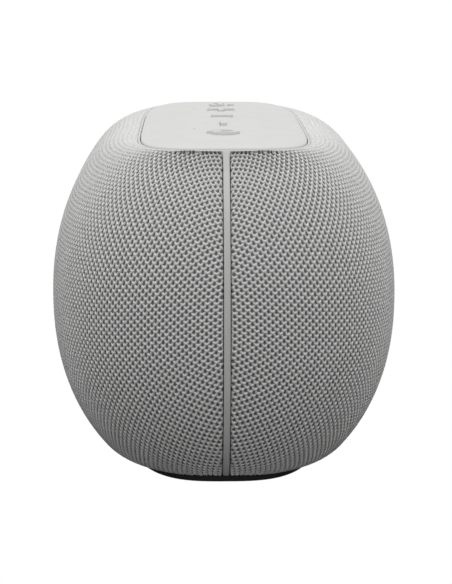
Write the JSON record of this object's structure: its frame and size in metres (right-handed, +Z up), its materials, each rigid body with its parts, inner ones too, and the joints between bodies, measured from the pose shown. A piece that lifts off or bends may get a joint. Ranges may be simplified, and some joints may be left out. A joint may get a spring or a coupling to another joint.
{
  "type": "smart speaker",
  "caption": "Barrel-shaped mains smart speaker with a knit cover over two grille frames, raised symbol keys on a light top panel and a low black base.",
  "frame": {"origin": "centre of the foot ring's lower face, on the surface that the speaker stands on", "axes": "+X along the length, -Y out of the front, +Z up"},
  "size_m": [0.2342, 0.142, 0.1356],
  "materials": {
    "light_plastic": "fine-grained light warm grey, satin",
    "light_knit": "chunky light grey stretch knit",
    "black_plastic": "near-black, slightly sheened",
    "dark_rubber": "matt black",
    "frame_plastic": "matt moulded",
    "cabinet_plastic": "matt moulded",
    "plated_steel": "zinc plated",
    "ferrite": "dark ceramic magnet",
    "cone_paper": "coated paper cone",
    "spider_cloth": "resin-treated cloth",
    "dome_silk": "coated silk dome",
    "aluminium": "plain",
    "board_green": "solder-masked board",
    "copper_tape": "flex antenna",
    "yellow_tape": "taped winding",
    "cable_sheath": "soft sheath"
  },
  "bodies": {
    "housing": {"top_panel": "light_plastic", "trim_frame": "light_plastic", "fabric_front": "light_knit", "fabric_rear": "light_knit", "grille_frame_front": "frame_plastic", "grille_frame_rear": "frame_plastic", "base_cover": "black_plastic", "foot_ring": "dark_rubber", "key_board": "board_green", "cabinet_front": "cabinet_plastic", "cabinet_rear": "cabinet_plastic", "cabinet_gasket": "dark_rubber", "woofer_basket": "plated_steel", "woofer_top_plate": "plated_steel", "woofer_magnet": "ferrite", "woofer_yoke": "plated_steel", "woofer_surround": "dark_rubber", "woofer_spider": "spider_cloth", "tweeter_left_housing": "black_plastic", "tweeter_left_magnet": "ferrite", "tweeter_right_housing": "black_plastic", "tweeter_right_magnet": "ferrite", "radiator_frame": "black_plastic", "radiator_surround": "dark_rubber", "power_board": "board_green", "transformer": "yellow_tape", "bulk_capacitor": "black_plastic", "main_board": "board_green", "shield_can": "plated_steel", "heat_sink": "aluminium", "antenna_left": "copper_tape", "antenna_right": "copper_tape", "mains_cable": "cable_sheath", "woofer_cable": "cable_sheath", "key_cable": "cable_sheath", "port_panel": "black_plastic", "mains_inlet": "black_plastic", "service_port": "plated_steel", "port_board": "board_green", "status_light_board": "board_green", "base_screw_1": "plated_steel", "woofer_screw_1": "plated_steel", "base_screw_2": "plated_steel", "woofer_screw_2": "plated_steel", "base_screw_3": "plated_steel", "woofer_screw_3": "plated_steel", "base_screw_4": "plated_steel", "woofer_screw_4": "plated_steel"},
    "power_key": {"power_key": "light_plastic"},
    "volume_down_key": {"volume_down_key": "light_plastic"},
    "play_key": {"play_key": "light_plastic"},
    "volume_up_key": {"volume_up_key": "light_plastic"},
    "wireless_key": {"wireless_key": "light_plastic"},
    "woofer_moving": {"woofer_cone": "cone_paper", "woofer_dust_cap": "cone_paper"},
    "tweeter_left_moving": {"tweeter_left_dome": "dome_silk"},
    "tweeter_right_moving": {"tweeter_right_dome": "dome_silk"},
    "radiator_moving": {"radiator_plate": "aluminium"},
    "mute_button": {"mute_button": "black_plastic"}
  },
  "joints": [
    {"name": "power_key_press", "type": "slide", "parent": "housing", "child": "power_key", "axis": [0, 0, -1], "range_m": [0, 0.0006], "stiffness_N_per_m": 2500},
    {"name": "volume_down_key_press", "type": "slide", "parent": "housing", "child": "volume_down_key", "axis": [0, 0, -1], "range_m": [0, 0.0006], "stiffness_N_per_m": 2500},
    {"name": "play_key_press", "type": "slide", "parent": "housing", "child": "play_key", "axis": [0, 0, -1], "range_m": [0, 0.0006], "stiffness_N_per_m": 2500},
    {"name": "volume_up_key_press", "type": "slide", "parent": "housing", "child": "volume_up_key", "axis": [0, 0, -1], "range_m": [0, 0.0006], "stiffness_N_per_m": 2500},
    {"name": "wireless_key_press", "type": "slide", "parent": "housing", "child": "wireless_key", "axis": [0, 0, -1], "range_m": [0, 0.0006], "stiffness_N_per_m": 2500},
    {"name": "mute_button_press", "type": "slide", "parent": "housing", "child": "mute_button", "axis": [0, -1, 0], "range_m": [0, 0.0006], "stiffness_N_per_m": 2500},
    {"name": "woofer_travel", "type": "slide", "parent": "housing", "child": "woofer_moving", "axis": [0, -1, 0], "range_m": [-0.004, 0.004], "stiffness_N_per_m": 1800, "deforming": ["woofer_surround", "woofer_spider"]},
    {"name": "tweeter_left_travel", "type": "slide", "parent": "housing", "child": "tweeter_left_moving", "axis": [0, -1, 0], "range_m": [-0.0003, 0.0003], "stiffness_N_per_m": 4000},
    {"name": "tweeter_right_travel", "type": "slide", "parent": "housing", "child": "tweeter_right_moving", "axis": [0, -1, 0], "range_m": [-0.0003, 0.0003], "stiffness_N_per_m": 4000},
    {"name": "radiator_travel", "type": "slide", "parent": "housing", "child": "radiator_moving", "axis": [0, 1, 0], "range_m": [-0.005, 0.005], "stiffness_N_per_m": 1500, "deforming": ["radiator_surround"]}
  ]
}
